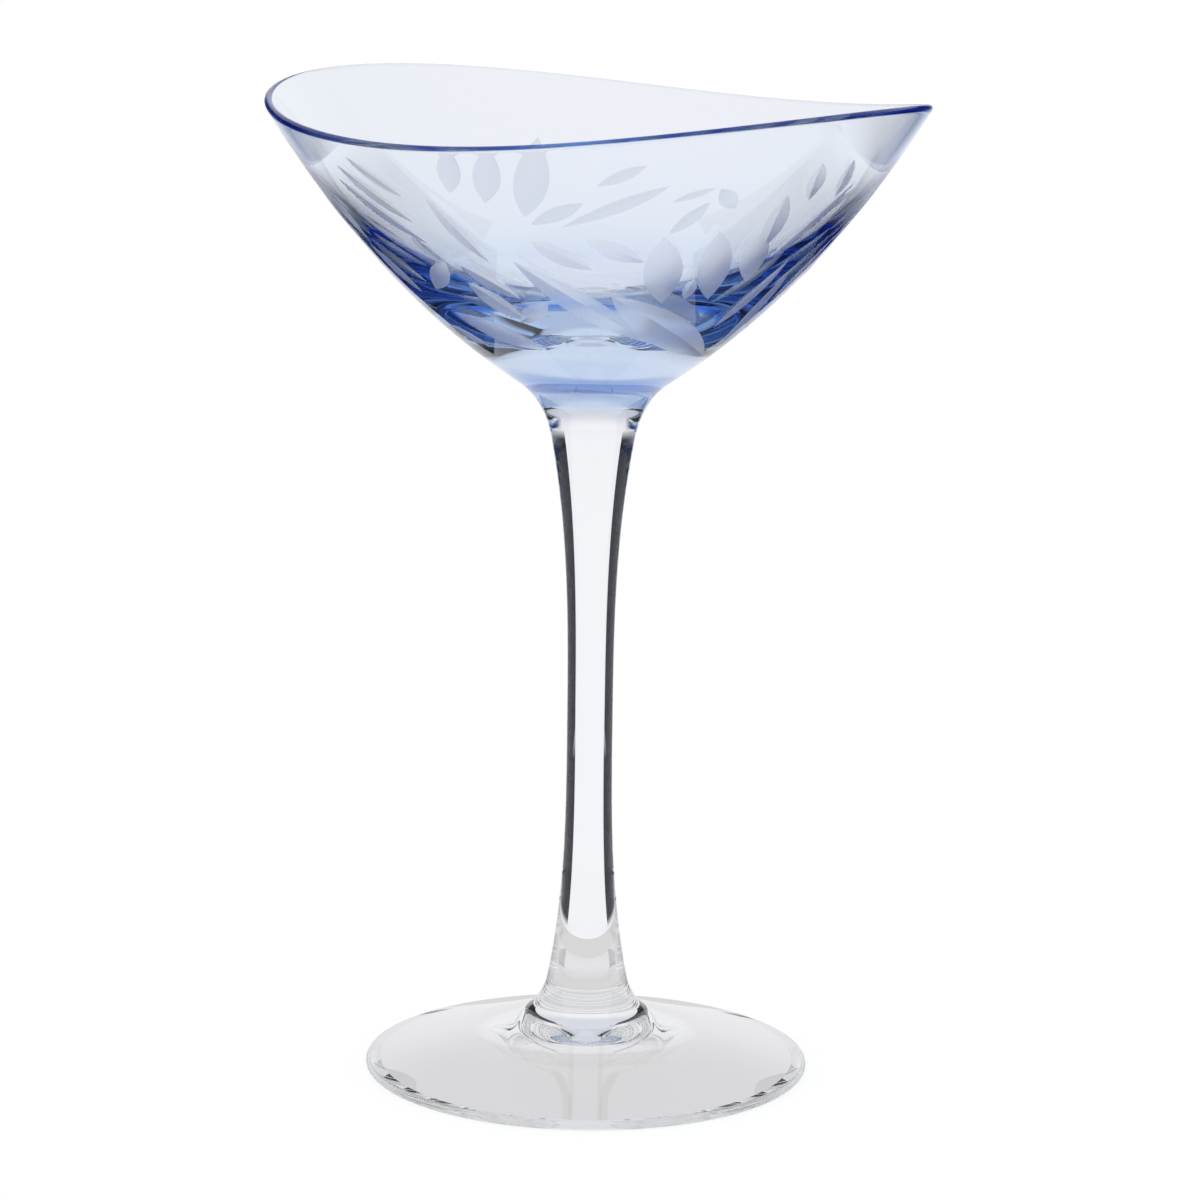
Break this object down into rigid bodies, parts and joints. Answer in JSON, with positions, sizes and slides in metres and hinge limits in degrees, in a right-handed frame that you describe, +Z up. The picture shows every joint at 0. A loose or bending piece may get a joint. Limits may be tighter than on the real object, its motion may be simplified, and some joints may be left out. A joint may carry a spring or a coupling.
{
  "type": "stemmed gin glass",
  "caption": "Stemmed drinking glass with a wide blue bowl, swept rim and wheel-cut leaves, on a clear drawn stem and a clear round foot.",
  "frame": {"origin": "on the glass's axis, in the plane of the ring that it stands on", "axes": "+Z up along the glass's axis, -Y towards the front, +X to the viewer's right"},
  "size_m": [0.1186, 0.1172, 0.181],
  "materials": {
    "blue_glass": "fire-polished pale blue glass with ground matt leaves",
    "clear_glass": "fire-polished clear glass"
  },
  "bodies": {
    "root": {"bowl": "blue_glass", "stem": "clear_glass", "foot": "clear_glass"}
  },
  "joints": []
}
